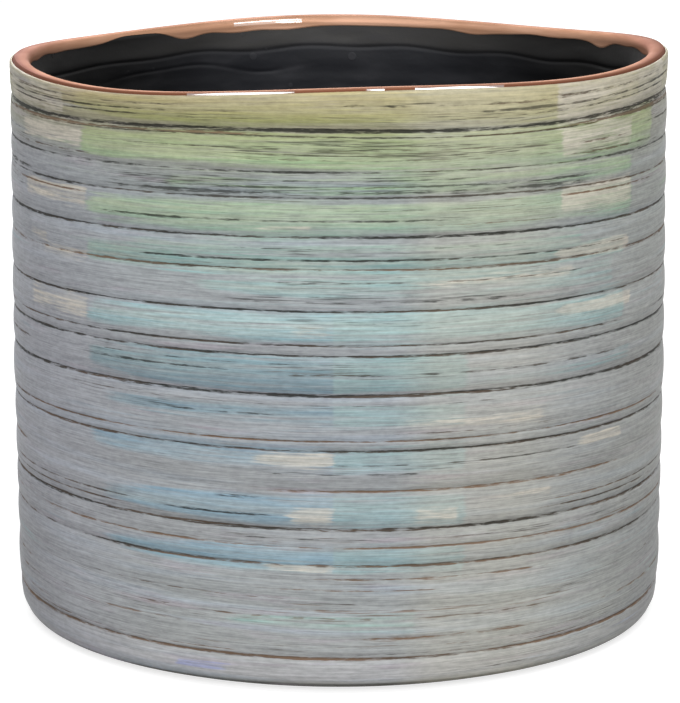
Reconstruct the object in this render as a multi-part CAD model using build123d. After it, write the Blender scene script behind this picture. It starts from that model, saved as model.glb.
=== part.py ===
"""A round stoneware cachepot with a turned wall, an uneven hand-made rim and three fired coats.

The frame: +Z is up along the pot's axis and the origin is the middle of the foot ring, on the ground.
Azimuths are counted from +X towards +Y, and -Y is the front. All lengths are millimetres.

The pot is made as a potter makes it. A clay body is thrown, and three coats are fired on to it: a black
glaze that seals the inside, a copper coat over the lip and the whole outer wall, and a pearl glaze that
is brushed over the copper between turned grooves and stops below the lip, where the copper stays in sight.
"""

from build123d import *

import os
from math import cos, radians, sin, sqrt

# Whole pot
OUTSIDE_DIAMETER = 190.0  # over the pearl glaze, on the crown of the fullest land
RIM_HEIGHT = 163.5  # ground to the middle of the uneven rim, over the copper
WALL_THICKNESS = 7.0  # from that crown to the bore, with all coats
FLOOR_THICKNESS = 7.5  # ground to the top of the glazed floor

# Coats
COPPER_THICKNESS = 0.4
PEARL_THICKNESS = 0.6
BLACK_THICKNESS = 0.6
BARE_FOOT_HEIGHT = 1.5  # the outer coats are wiped off the foot up to here
PEARL_STOP = 0.1  # copper wall left in sight between the pearl glaze and the lip's rounding
COPPER_DROP_INSIDE = 3.2  # how far the copper comes down inside, from the rim to the black glaze

# Turned wall: convex lands between narrow grooves
LAND_CROWN = 0.5  # how far the tallest land stands out between its two grooves
BARREL = 0.5  # how far the wall is drawn in at the ground and the rim, against its middle
GROOVE_WIDTH = 1.2
GROOVE_DEPTH = 0.45
GROOVE_HEIGHT_SHARES = (
    0.064, 0.155, 0.225, 0.289, 0.354, 0.419, 0.512, 0.578, 0.651, 0.720, 0.770, 0.834, 0.877, 0.941,
)

# Foot
FOOT_ROUND = 8.0  # rounding from the wall into the foot ring
FOOT_RING_WIDTH = 9.0
RECESS_DEPTH = 2.5
RECESS_FLARE = 3.0  # how far the recess narrows from the ground up to its roof

# Inside
FLOOR_ROUND = 9.0  # rounding from the floor into the wall
CREASE_DROP = 11.5  # rim down to the lower edge of the crease that a throwing thumb leaves
CREASE_HEIGHT = 3.0
CREASE_DEPTH = 0.9
LIP_LEAN = 0.9  # how far the lip leans out from the bore, up to the rim
LIP_SETBACK = 0.3  # how far the lip already stands back from the bore, just above the crease

# Lip
OUTER_LIP_ROUND_SHARE = 0.1  # rounding of the clay lip's outer edge, as a share of its thickness
INNER_LIP_ROUND_SHARE = 0.55  # and of its inner edge
RIM_TILT = 1.3  # the rim stands this much higher on one side, and lower on the other
RIM_TILT_AZIMUTH = 6.0
RIM_BOW = 0.4  # it also rises this much towards two opposite sides, and falls between them
RIM_BOW_AZIMUTH = -47.0  # one of the two sides
RIM_SWELL = 0.9  # the rim's swells rise and fall this much, besides the tilt and the bow
RIM_SWELL_COUNT = 4
RIM_SWELL_AZIMUTH = 3.0  # one of the swells is highest here
RIM_POINTS = 24  # points that the rim's line is drawn through

OVERRUN = 20.0  # how far a cutting shape reaches past what it cuts

# Sizes that follow from those above
OUTER_COATS = COPPER_THICKNESS + PEARL_THICKNESS
CLAY_RADIUS = OUTSIDE_DIAMETER / 2 - LAND_CROWN - OUTER_COATS  # in a groove at mid height
BORE_RADIUS = OUTSIDE_DIAMETER / 2 - WALL_THICKNESS  # inside the black glaze
CLAY_BORE_RADIUS = BORE_RADIUS + BLACK_THICKNESS
CLAY_FLOOR = FLOOR_THICKNESS - BLACK_THICKNESS
CLAY_RIM_HEIGHT = RIM_HEIGHT - COPPER_THICKNESS
LIP_THICKNESS = CLAY_RADIUS - BARREL - CLAY_BORE_RADIUS - LIP_LEAN
OUTER_LIP_ROUND = OUTER_LIP_ROUND_SHARE * LIP_THICKNESS
INNER_LIP_ROUND = INNER_LIP_ROUND_SHARE * LIP_THICKNESS
PEARL_TOP = CLAY_RIM_HEIGHT - OUTER_LIP_ROUND - PEARL_STOP
BLACK_TOP = RIM_HEIGHT - COPPER_DROP_INSIDE
CREASE_BOTTOM = RIM_HEIGHT - CREASE_DROP
RIM_REACH = RIM_TILT + RIM_BOW + RIM_SWELL  # the rim strays no further than this from its middle height
BLANK_HEIGHT = RIM_HEIGHT + RIM_REACH + INNER_LIP_ROUND  # the wall before its rim is cut
TOP_OF_BLANK = BLANK_HEIGHT + OVERRUN
GROOVE_HEIGHTS = [share * RIM_HEIGHT for share in GROOVE_HEIGHT_SHARES]


def wall_radius(height):
    """Radius of the clay in a groove at this height: a shallow barrel, fullest at mid height."""
    share_from_middle = 2 * height / RIM_HEIGHT - 1
    return CLAY_RADIUS - BARREL * share_from_middle**2


def rim_rise(azimuth):
    """How far the rim stands above its middle height: a tilt, a bow and a few swells."""
    tilt = RIM_TILT * cos(radians(azimuth - RIM_TILT_AZIMUTH))
    bow = RIM_BOW * cos(radians(2 * (azimuth - RIM_BOW_AZIMUTH)))
    swell = RIM_SWELL * cos(radians(RIM_SWELL_COUNT * (azimuth - RIM_SWELL_AZIMUTH)))
    return tilt + bow + swell


def rim_line(radius, height):
    """The rim's uneven line as a closed curve at this radius, with its middle at this height."""
    points = []
    for i in range(RIM_POINTS):
        azimuth = 360 * i / RIM_POINTS
        x = radius * cos(radians(azimuth))
        y = radius * sin(radians(azimuth))
        points.append((x, y, height + rim_rise(azimuth)))
    return Edge.make_spline(points, periodic=True)


def above_rim(height):
    """The space round the wall above the rim's uneven line, with that line's middle at this height."""
    inner = rim_line(BORE_RADIUS - OVERRUN, height)
    outer = rim_line(OUTSIDE_DIAMETER / 2 + OVERRUN, height)
    rise = TOP_OF_BLANK + OVERRUN - height
    return Solid.extrude(Face.make_surface_from_curves(inner, outer), Vector(0, 0, rise))


def below(height):
    """The space below this height, as wide as the pot and more."""
    radius = OUTSIDE_DIAMETER / 2 + OVERRUN
    hung_from_its_top = (Align.CENTER, Align.CENTER, Align.MAX)
    return Pos(0, 0, height) * Cylinder(radius, height + OVERRUN, align=hung_from_its_top)


def turned(lines):
    """The solid that a closed outline in the XZ plane makes as it turns round the pot's axis."""
    return revolve(make_face(Curve() + lines), Axis.Z)


def outer_form(coat):
    """All that lies within the outer wall, grown by a coat of this thickness."""
    heights = [FOOT_ROUND, *GROOVE_HEIGHTS, BLANK_HEIGHT]
    corners = [Vector(wall_radius(z) + coat, 0, z) for z in heights]
    tallest = max(high - low for low, high in zip(heights, heights[1:]))

    rounding = FOOT_ROUND + coat
    foot_center = corners[0] - Vector(rounding, 0, 0)
    foot_low = foot_center - Vector(0, 0, rounding)
    foot_middle = foot_center + Vector(1, 0, -1) * (rounding / sqrt(2))
    axis_low = Vector(0, 0, -coat)
    axis_high = Vector(0, 0, TOP_OF_BLANK)
    wall_high = Vector(corners[-1].X, 0, TOP_OF_BLANK)

    lines = [Line(axis_low, foot_low), ThreePointArc(foot_low, foot_middle, corners[0])]
    for low, high in zip(corners, corners[1:]):
        crown = LAND_CROWN * (high.Z - low.Z) / tallest
        lines.append(ThreePointArc(low, (low + high) / 2 + Vector(crown, 0, 0), high))
    lines += [Line(corners[-1], wall_high), Line(wall_high, axis_high), Line(axis_high, axis_low)]
    return turned(lines)


def inner_form(coat):
    """All that lies within the inner wall, over the floor, narrowed by a coat of this thickness."""
    bore = CLAY_BORE_RADIUS - coat
    floor = CLAY_FLOOR + coat
    rounding = FLOOR_ROUND - coat
    round_center = Vector(bore - rounding, 0, floor + rounding)
    floor_edge = round_center - Vector(0, 0, rounding)
    round_middle = round_center + Vector(1, 0, -1) * (rounding / sqrt(2))
    wall_low = round_center + Vector(rounding, 0, 0)
    crease_low = Vector(bore, 0, CREASE_BOTTOM)
    crease_middle = crease_low + Vector(CREASE_DEPTH, 0, CREASE_HEIGHT / 2)
    lip_low = crease_low + Vector(LIP_SETBACK, 0, CREASE_HEIGHT)
    lip_high = Vector(bore + LIP_LEAN, 0, BLANK_HEIGHT)
    wall_high = Vector(bore + LIP_LEAN, 0, TOP_OF_BLANK)
    axis_low = Vector(0, 0, floor)
    axis_high = Vector(0, 0, TOP_OF_BLANK)
    return turned([
        Line(axis_low, floor_edge),
        ThreePointArc(floor_edge, round_middle, wall_low),
        Line(wall_low, crease_low),
        ThreePointArc(crease_low, crease_middle, lip_low),
        Line(lip_low, lip_high),
        Line(lip_high, wall_high),
        Line(wall_high, axis_high),
        Line(axis_high, axis_low),
    ])


def rim_edges(pot):
    """The edges that run round the rim, from the innermost to the outermost."""
    lowest = CLAY_RIM_HEIGHT - RIM_REACH
    high_edges = pot.edges().filter_by(lambda edge: edge.bounding_box().min.Z > lowest)
    whole_turns = high_edges.filter_by(lambda edge: edge.bounding_box().size.X > BORE_RADIUS)
    return whole_turns.sort_by(lambda edge: edge.bounding_box().size.X)


def pot_form(coat):
    """The whole pot with its rounded, uneven lip, as if a coat of this thickness covered it all over."""
    pot = outer_form(coat) - inner_form(coat) - above_rim(CLAY_RIM_HEIGHT + coat)
    pot = fillet(rim_edges(pot)[-1], OUTER_LIP_ROUND + coat)
    return fillet(rim_edges(pot)[0], INNER_LIP_ROUND + coat)


def clay_body(blank):
    """The thrown body: wall, floor and foot ring, with the underside turned out inside the ring."""
    ring_inner = wall_radius(FOOT_ROUND) - FOOT_ROUND - FOOT_RING_WIDTH
    ground = Vector(0, 0, 0)
    ring_edge = Vector(ring_inner, 0, 0)
    roof_edge = Vector(ring_inner - RECESS_FLARE, 0, RECESS_DEPTH)
    roof = Vector(0, 0, RECESS_DEPTH)
    recess = turned([
        Line(ground, ring_edge),
        Line(ring_edge, roof_edge),
        Line(roof_edge, roof),
        Line(roof, ground),
    ])
    return blank - recess


def copper_coat(blank):
    """The copper coat: the outer wall from the foot up, over the lip and a little way down inside."""
    inside_below_edge = inner_form(0) - above_rim(BLACK_TOP)
    return pot_form(COPPER_THICKNESS) - blank - inside_below_edge - below(BARE_FOOT_HEIGHT)


def groove_cuts():
    """The turned grooves: round-bottomed cuts into the pearl glaze, one at each groove height."""
    cut_radius = (GROOVE_WIDTH**2 / 4 + GROOVE_DEPTH**2) / (2 * GROOVE_DEPTH)
    cuts = []
    for height in GROOVE_HEIGHTS:
        middle = wall_radius(height) + OUTER_COATS - GROOVE_DEPTH + cut_radius
        section = Plane.XZ * Pos(middle, height) * Circle(cut_radius)
        cuts.append(revolve(section, Axis.Z))
    return cuts


def pearl_glaze():
    """The pearl glaze over the copper wall, from the bare foot to just below the lip, with its grooves."""
    coat = outer_form(OUTER_COATS) - outer_form(COPPER_THICKNESS)
    return coat - below(BARE_FOOT_HEIGHT) - above_rim(PEARL_TOP) - groove_cuts()


def inner_glaze():
    """The black glaze that makes the inside watertight: floor and wall, up to the copper's edge."""
    return inner_form(0) - inner_form(BLACK_THICKNESS) - above_rim(BLACK_TOP)


def main():
    blank = pot_form(0)
    nodes = {
        "clay_body": clay_body(blank),
        "copper_coat": copper_coat(blank),
        "pearl_glaze": pearl_glaze(),
        "inner_glaze": inner_glaze(),
    }
    os.makedirs("parts", exist_ok=True)
    for name, shape in nodes.items():
        export_step(shape, f"parts/{name}.step")
        print(name, len(shape.solids()), "solid", round(shape.volume), "mm3", shape.bounding_box())


main()
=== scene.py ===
# %% [markdown]
# # A thrown cachepot with a streaked pearl glaze
#
# A cachepot is a pot without a hole in its floor, which hides a plain nursery pot. This one is thrown in
# stoneware and carries three fired coats: black inside, copper on the lip, and outside a pearl glaze,
# brushed on while the pot turns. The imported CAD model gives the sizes. This lesson adds what a wheel, a
# brush and a kiln leave on the surface, with numpy for the shapes and shader nodes for the finishes.

import bpy
import mathutils
import numpy as np
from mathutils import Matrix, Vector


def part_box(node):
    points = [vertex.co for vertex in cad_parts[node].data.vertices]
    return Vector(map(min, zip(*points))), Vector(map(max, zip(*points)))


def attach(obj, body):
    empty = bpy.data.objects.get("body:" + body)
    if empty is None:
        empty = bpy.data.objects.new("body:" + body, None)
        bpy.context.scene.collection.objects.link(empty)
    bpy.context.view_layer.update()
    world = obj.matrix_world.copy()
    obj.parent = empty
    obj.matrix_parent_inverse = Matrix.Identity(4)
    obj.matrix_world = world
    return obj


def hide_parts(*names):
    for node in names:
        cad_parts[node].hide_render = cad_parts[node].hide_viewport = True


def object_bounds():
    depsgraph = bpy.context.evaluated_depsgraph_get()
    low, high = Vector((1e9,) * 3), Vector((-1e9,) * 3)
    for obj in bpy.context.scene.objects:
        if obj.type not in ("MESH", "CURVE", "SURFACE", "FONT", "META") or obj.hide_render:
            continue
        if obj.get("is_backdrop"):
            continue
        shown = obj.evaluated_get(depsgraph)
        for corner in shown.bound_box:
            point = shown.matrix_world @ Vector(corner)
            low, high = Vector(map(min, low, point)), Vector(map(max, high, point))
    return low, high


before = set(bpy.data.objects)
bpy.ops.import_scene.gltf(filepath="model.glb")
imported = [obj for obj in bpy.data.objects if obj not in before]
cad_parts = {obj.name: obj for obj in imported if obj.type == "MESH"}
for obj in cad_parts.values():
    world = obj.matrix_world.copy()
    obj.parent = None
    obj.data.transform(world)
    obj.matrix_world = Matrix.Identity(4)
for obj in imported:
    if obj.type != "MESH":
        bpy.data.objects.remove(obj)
cad_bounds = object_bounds()
print("CAD box", [tuple(round(v, 4) for v in corner) for corner in cad_bounds])

# %% [markdown]
# ## Sizes
#
# The pot's sizes repeat the ones that the solids were made with, in millimetres. `MM` turns them into
# Blender's metres when a mesh is written. Azimuths run from the front of the pot, positive to the right, so
# the front is 0 degrees and the back is 180.

# %% Sizes of the pot
MM = 0.001
RIM_HEIGHT = 163.5  # ground to the middle of the uneven rim
OUTER_RADIUS = 95.0  # over the fullest land of the glazed wall
BORE_RADIUS = 88.0  # inside the black glaze
FLOOR_HEIGHT = 7.5  # top of the glazed floor
COPPER = 0.4  # thickness of the copper coat
PEARL = 0.6  # thickness of the pearl glaze
BLACK = 0.6  # thickness of the black glaze
LAND_CROWN = 0.5  # how far the tallest land stands out between two grooves
BARREL = 0.5  # how far the wall is drawn in at the ground and the rim
FOOT_ROUND = 8.0  # rounding from the wall into the foot ring
BARE_FOOT = 1.5  # the coats are wiped off the foot up to here
FLOOR_ROUND = 9.0  # rounding from the floor into the bore
CLAY_RADIUS = OUTER_RADIUS - LAND_CROWN - COPPER - PEARL  # in a groove at mid height

low, high = (np.array(corner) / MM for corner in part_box("pearl_glaze"))
print("pearl glaze in the frame:", low.round(2), high.round(2))

# %% [markdown]
# ## The uneven rim
#
# A rim that is thrown by hand is never level. This one is higher on the right, bowed a little, and swells
# four times, as the solids do. A sum of cosines gives that line and closes on itself. The turned lines just
# under the rim follow it. Further down they wander, because no hand holds a rib quite level: they sag, and
# they swing twice per turn.

# %% Rim line and drift of the turned lines
COLUMNS = 300  # of every skin, round the pot
AZIMUTH = 2 * np.pi * np.arange(COLUMNS) / COLUMNS - np.pi
DEGREES = np.degrees(AZIMUTH)
RIM_WAVES = [(1, 1.3, 96.0), (2, 0.4, 43.0), (4, 0.9, 3.0)]  # waves per turn, height, degrees of a crest
RIM_REACH = 22.0  # how far below the rim the turned lines still follow it
LIP_BELOW = 1.2  # from here to the top of the lip, lines follow the rim in full
HAND_BELOW = 5.0  # from here down, lines sag and swing in full
DRIFT = 0.45  # size of the slow wander
WANDER = [(2, 31.0, 1.0, 0), (3, -19.0, 0.6, 1)]  # waves per turn, climb, size, phase
LEVEL_RING, SAG_REACH = 95.0, 60.0  # the lines sag least at this level, and 1 mm more so far from it
LEAST_SAG = 0.4
SWING, SWING_LOSS, SIDE_SWING = 1.2, 1.6, 0.7  # at the level ring, and what changes away from it
SWELL_LEVELS = (140.0, 150.0)  # between these the lines start to swell four times per turn
SWELL_MEAN, SWELL_WAVE, SWELL_CREST = 0.3, 0.6, np.radians(-28.0)

rim_rise = sum(height * np.cos(waves * (AZIMUTH - np.radians(crest))) for waves, height, crest in RIM_WAVES)


def smooth_step(value, start, end):
    """0 before start, 1 after end, and the cubic 3t^2 - 2t^3 between them."""
    share = np.clip((value - start) / (end - start), 0, 1)
    return share * share * (3 - 2 * share)


def slow_waves(level, waves):
    """Sum of size cos(n a + level / climb + phase), over rows of n, climb, size and phase."""
    return sum(size * np.cos(n * AZIMUTH + level / climb + phase) for n, climb, size, phase in waves)


def line_drift(level):
    """How far a turned line lies above its level: the rim's rise near the rim, a slow wander below.

    The sag and the swing change with the square of the distance from one level ring.
    """
    near_rim = smooth_step(level, RIM_HEIGHT - RIM_REACH, RIM_HEIGHT - LIP_BELOW)
    off_ground = smooth_step(level, BARE_FOOT, 4 * FOOT_ROUND)
    wander = DRIFT * off_ground * (1 - near_rim) * slow_waves(level, WANDER)
    apart = ((level - LEVEL_RING) / SAG_REACH) ** 2
    swing = (SWING - SWING_LOSS * apart) * (np.cos(2 * AZIMUTH) - 1)
    swing = swing - SIDE_SWING * apart * np.sin(2 * AZIMUTH)
    swell = SWELL_MEAN + SWELL_WAVE * np.cos(4 * (AZIMUTH - SWELL_CREST))
    swell = swell * smooth_step(level, *SWELL_LEVELS)
    below_lip = smooth_step(RIM_HEIGHT - level, LIP_BELOW, HAND_BELOW)
    return near_rim * rim_rise + wander + off_ground * below_lip * (swing + swell - LEAST_SAG - apart)


print("rim from", rim_rise.min().round(2), "to", rim_rise.max().round(2), "mm")

# %% [markdown]
# ## A skin on a turning grid
#
# Every coat of this pot is a profile carried round the axis, so one function makes all the meshes. It takes
# stretches of the profile, each with a radius and a height for its rows and azimuths. Columns run round the
# pot, so they close by rolling the index array by one. The last row joins the first in the same way, which
# makes a closed skin with a thickness. A profile that starts and ends on the axis gets two poles instead.
# The UV map lays the skin out flat, azimuth across and rows up, which suits a pattern of level streaks.

# %% Mesh builder
UV_MAP = "OFBake"
HIDDEN_SHARE = 0.04  # part of the UV map's height that the hidden back of a skin gets


def add_object(name, data):
    """A new object in the scene, at the origin."""
    made = bpy.data.objects.new(name, data)
    bpy.context.scene.collection.objects.link(made)
    return made


def turned_skin(name, stretches, shown_rows, fields, poles=()):
    """Surface of points (radius sin a, -radius cos a, height): rows along the profile, columns round it.

    Neighbours along a row and a column make a quad. Without poles the last row joins the first. With poles,
    which are two heights on the axis, fans of triangles close the first and the last row.
    """
    whole = [np.broadcast_arrays(*stretch, np.zeros((1, COLUMNS)))[:2] for stretch in stretches]
    radius, height = (np.concatenate(grids) for grids in zip(*whole))
    rows = len(radius)
    points = np.stack([radius * np.sin(AZIMUTH), -radius * np.cos(AZIMUTH), height], axis=-1).reshape(-1, 3)
    index = np.arange(rows * COLUMNS).reshape(rows, COLUMNS)
    lower = index[:-1] if poles else index
    upper = index[1:] if poles else np.roll(index, -1, axis=0)
    corners = np.stack([lower, np.roll(lower, -1, 1), np.roll(upper, -1, 1), upper], axis=-1)
    faces = corners.reshape(-1, 4).tolist()
    v = np.interp(np.arange(rows + 1), [0, shown_rows - 1, rows], [0, 1 - HIDDEN_SHARE, 1])
    u = np.arange(COLUMNS + 1) / COLUMNS
    left, under = np.meshgrid(u[:-1], v[: len(lower)])
    right, over = np.meshgrid(u[1:], v[1 : len(lower) + 1])
    spread = np.stack([left, under, right, under, right, over, left, over], axis=-1).reshape(-1, 2)
    if poles:
        first, last = rows * COLUMNS, rows * COLUMNS + 1
        points = np.concatenate([points, [[0, 0, pole] for pole in poles]])
        start = np.stack([np.full(COLUMNS, first), np.roll(index[0], -1), index[0]], axis=-1)
        end = np.stack([np.full(COLUMNS, last), index[-1], np.roll(index[-1], -1)], axis=-1)
        faces += start.tolist() + end.tolist()
        middle, none = (u[:-1] + u[1:]) / 2, np.zeros(COLUMNS)
        start_spread = np.stack([middle, none, u[1:], none + v[1] / 2, u[:-1], none + v[1] / 2], axis=-1)
        end_spread = np.stack([middle, none + 1, u[:-1], none + v[-2], u[1:], none + v[-2]], axis=-1)
        spread = np.concatenate([spread, start_spread.reshape(-1, 2), end_spread.reshape(-1, 2)])
    mesh = bpy.data.meshes.new(name)
    mesh.from_pydata((points * MM).tolist(), [], faces)
    mesh.polygons.foreach_set("use_smooth", np.ones(len(faces), bool))
    mesh.uv_layers.new(name=UV_MAP).uv.foreach_set("vector", spread.astype(np.float32).ravel())
    for field, values in fields.items():
        attribute = mesh.attributes.new(field, "FLOAT", "POINT")
        attribute.data.foreach_set("value", values.astype(np.float32).ravel())
    print(name, "has", len(points), "points and", sum(len(face) - 2 for face in faces), "triangles")
    return add_object(name, mesh)


# %% [markdown]
# ## The turned wall
#
# The wall is a shallow barrel that bulges softly between grooves: each pass of the potter's rib leaves a
# convex land. A parabola over each land, 4t(1 - t), is close to the arc that the solids have. A land's
# crown grows with its height, as a rib's does. Near the ground the wall rounds into the foot. A thrown wall
# also bulges and gives a little as it goes round, which two slow cosines add.

# %% Wall without its fine lines
GROOVE_SHARES = np.array(
    [0.064, 0.155, 0.225, 0.289, 0.354, 0.419, 0.512, 0.578, 0.651, 0.720, 0.770, 0.834, 0.877, 0.941]
)
GROOVE_LEVELS = RIM_HEIGHT * GROOVE_SHARES
PAST_RIM = 4.5  # the last land would end so far above the rim
LAND_EDGES = np.concatenate([[FOOT_ROUND], GROOVE_LEVELS, [RIM_HEIGHT + PAST_RIM]])
LAND_HEIGHTS = np.diff(LAND_EDGES)
LAND_CROWNS = LAND_CROWN * LAND_HEIGHTS / LAND_HEIGHTS.max()
HAND_SWELL = 0.08
HAND_WAVES = [(2, 23.0, 1, 0), (3, -37.0, 1, 2)]  # waves per turn, climb, size, phase


def barrel(level):
    """Radius of the clay in the grooves: a parabola that is widest at mid height."""
    return CLAY_RADIUS - BARREL * (2 * level / RIM_HEIGHT - 1) ** 2


def wall_radius(level, coat):
    """Radius of the wall under a coat of this thickness: barrel, lands and the foot's quarter circle."""
    land = np.clip(np.searchsorted(LAND_EDGES, level) - 1, 0, len(LAND_CROWNS) - 1)
    share = np.clip((level - LAND_EDGES[land]) / LAND_HEIGHTS[land], 0, 1)
    upright = barrel(level) + LAND_CROWNS[land] * 4 * share * (1 - share) + coat
    reach = (FOOT_ROUND + coat) ** 2 - np.maximum(FOOT_ROUND - level, 0) ** 2
    foot = barrel(FOOT_ROUND) - FOOT_ROUND + np.sqrt(np.maximum(reach, 0))
    return np.where(level < FOOT_ROUND, foot, upright)


def hand_swell(level):
    """How far the wall bulges besides its lands: two slow cosines whose phase climbs the wall."""
    return HAND_SWELL * slow_waves(level, HAND_WAVES) * smooth_step(level, 2 * BARE_FOOT, 2 * FOOT_ROUND)


print(len(LAND_CROWNS), "lands, crowns", LAND_CROWNS.round(2), "mm")

# %% [markdown]
# ## The lip
#
# The lip is a low ridge: a soft bevel towards the outside, a quarter circle towards the inside, and a
# narrow crest between them. The bevel is a superellipse, given by how far it draws in from the wall at each
# level. The inside is given by its depth below the rim, and the copper lies there on the black.

# %% Profile of the lip
LIP_WIDE, LIP_TALL = 0.9, 1.15  # half axes of the outer bevel
LIP_POWER = 1.12  # 1 would be a flat bevel, and 2 an ellipse
INNER_ROUND = 2.3
LIP_LEAN = 0.75  # how far the inside still narrows below its rounding, down to the bore
LEAN_DEPTH = 9.0
LIP_INNER = BORE_RADIUS + LIP_LEAN  # black glaze just below the rounding


def lip_draw(level):
    """How far the lip draws in from the wall: w (1 - (1 - t^p)^(1/p)), with t from 0 to 1 up the bevel."""
    climb = np.clip((level - RIM_HEIGHT + LIP_TALL) / LIP_TALL, 0, 1)
    return LIP_WIDE * (1 - (1 - climb**LIP_POWER) ** (1 / LIP_POWER))


def lip_inside(depth):
    """Radius of the inside by depth below the rim: a quarter circle, then a slow lean in to the bore."""
    rounded = INNER_ROUND - np.minimum(depth, INNER_ROUND)
    lean = LIP_LEAN * smooth_step(depth, INNER_ROUND, LEAN_DEPTH)
    return LIP_INNER + INNER_ROUND - np.sqrt(INNER_ROUND**2 - rounded**2) - lean


lip_outer = float(wall_radius(np.array(RIM_HEIGHT), COPPER))
print("lip from", round(LIP_INNER, 2), "to", round(lip_outer, 2), "mm from the axis")

# %% [markdown]
# ## Turned lines
#
# Where a tool or a stiff bristle scraped the pearl glaze, the copper shows as a brown line. Some lines run
# all round, many start and stop, and some are only dashes. The table lists them, from the rim down.
# Each row gives a level, half a width and a depth in millimetres, where the line starts and stops at the
# front in degrees, how brown it is (0 is nearly black, 1 is copper), and how broken it is.
#
# A line that crosses the whole front runs all round. The others come again twice, about a third of a turn
# on each time, with some play from a seeded generator, so the sides and back are as lively as the front.

# %% Table of turned lines
ALL_ROUND = (-90, 90)
TURNED_LINES = [
    (160.4, 0.28, 0.08, -74, -24, 0.3, 0.35),
    (160.0, 0.25, 0.08, -4, 40, 0.3, 0.5),
    (158.7, 0.30, 0.10, -76, -16, 0.2, 0.3),
    (157.3, 0.30, 0.08, -72, -30, 0.1, 0.3),
    (157.0, 0.25, 0.08, -30, 40, 0.2, 0.7),
    (154.0, 0.62, 0.45, *ALL_ROUND, 0.0, 0.0),
    (152.9, 0.30, 0.12, -78, -14, 0.7, 0.2),
    (152.4, 0.25, 0.10, *ALL_ROUND, 0.2, 0.3),
    (150.3, 0.28, 0.10, -14, 24, 0.1, 0.7),
    (149.1, 0.25, 0.10, -46, 38, 0.2, 0.6),
    (147.6, 0.28, 0.10, -16, 56, 0.3, 0.6),
    (146.4, 0.22, 0.08, -24, 40, 0.4, 0.4),
    (145.0, 0.28, 0.10, -72, -44, 0.3, 0.5),
    (143.2, 0.32, 0.25, *ALL_ROUND, 0.1, 0.35),
    (141.0, 0.25, 0.08, -44, 20, 0.0, 0.7),
    (139.3, 0.36, 0.12, -40, 47, 0.1, 0.45),
    (137.8, 0.55, 0.20, -44, 47, 0.0, 0.42),
    (136.4, 0.36, 0.25, *ALL_ROUND, 0.3, 0.3),
    (134.6, 0.28, 0.10, -80, -44, 0.8, 0.2),
    (133.2, 0.22, 0.06, -10, 40, 0.2, 0.7),
    (130.3, 0.36, 0.15, -44, 24, 0.0, 0.5),
    (129.0, 0.22, 0.10, 14, 50, 0.7, 0.3),
    (126.0, 0.42, 0.35, *ALL_ROUND, 0.1, 0.05),
    (123.0, 0.20, 0.05, -20, 36, 0.1, 0.6),
    (119.9, 0.32, 0.15, -34, 56, 0.1, 0.35),
    (117.4, 0.40, 0.30, *ALL_ROUND, 0.65, 0.3),
    (114.0, 0.25, 0.08, -12, 48, 0.2, 0.7),
    (110.4, 0.22, 0.06, -30, 20, 0.1, 0.7),
    (108.9, 0.38, 0.12, -18, 34, 0.0, 0.65),
    (106.4, 0.34, 0.30, *ALL_ROUND, 0.3, 0.1),
    (103.4, 0.22, 0.08, -12, 24, 0.2, 0.7),
    (97.4, 0.32, 0.22, -70, 54, 0.3, 0.1),
    (94.5, 0.40, 0.30, *ALL_ROUND, 0.2, 0.12),
    (92.3, 0.20, 0.06, -44, 10, 0.1, 0.6),
    (90.2, 0.34, 0.12, -46, -18, 0.0, 0.4),
    (89.5, 0.36, 0.15, -12, 60, 0.4, 0.6),
    (83.9, 0.52, 0.45, *ALL_ROUND, 0.25, 0.0),
    (81.4, 0.20, 0.06, -60, 30, 0.3, 0.6),
    (78.6, 0.34, 0.10, -40, -6, 0.0, 0.5),
    (73.6, 0.22, 0.08, 8, 50, 0.4, 0.3),
    (71.6, 0.30, 0.22, -34, 72, 0.8, 0.1),
    (68.8, 0.40, 0.35, *ALL_ROUND, 0.4, 0.1),
    (65.0, 0.28, 0.10, -4, 48, 0.3, 0.7),
    (62.5, 0.28, 0.10, -14, 16, 0.1, 0.6),
    (57.8, 0.40, 0.30, -12, 54, 0.9, 0.2),
    (55.5, 0.62, 0.20, -19, -13, 0.0, 0.0),
    (51.6, 0.28, 0.12, -76, -38, 0.6, 0.3),
    (50.8, 0.34, 0.12, -32, -10, 0.0, 0.3),
    (49.6, 0.25, 0.12, -78, -38, 0.5, 0.3),
    (47.2, 0.50, 0.45, *ALL_ROUND, 0.35, 0.05),
    (44.6, 0.22, 0.06, -30, 60, 0.4, 0.6),
    (42.3, 0.36, 0.25, *ALL_ROUND, 1.0, 0.3),
    (37.2, 0.44, 0.35, *ALL_ROUND, 0.6, 0.2),
    (33.6, 0.32, 0.15, -4, 36, 0.8, 0.5),
    (30.6, 0.22, 0.08, -14, 20, 0.8, 0.3),
    (27.8, 0.20, 0.05, -60, 10, 0.5, 0.6),
    (24.8, 0.32, 0.15, -8, 45, 0.9, 0.7),
    (22.5, 0.32, 0.15, -42, 40, 0.8, 0.7),
    (18.6, 0.36, 0.15, -74, -18, 0.8, 0.7),
    (16.8, 0.62, 0.25, 2, 34, 1.0, 0.32),
    (14.2, 0.20, 0.05, -30, 60, 0.6, 0.6),
    (12.0, 0.22, 0.08, -62, 54, 0.5, 0.3),
    (10.6, 0.50, 0.40, *ALL_ROUND, 0.8, 0.05),
    (5.4, 0.22, 0.06, 16, 40, 0.1, 0.7),
]
LEVEL, HALF_WIDTH, DEPTH, START, STOP, BROWN, BROKEN = np.array(TURNED_LINES).T[:, :, None]
print(len(TURNED_LINES), "turned lines,", int((STOP - START >= 180).sum()), "of them all round")

# %% [markdown]
# ## How strong a line is round the pot
#
# A brush lifts and digs in as the pot turns, so the depth of a line changes along it. Random waves that
# repeat a whole number of times per turn give that without a seam at the back. The more broken a line is,
# the weaker it is and the stronger its quick waves, and the finish then tears it where it is weak.

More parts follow.
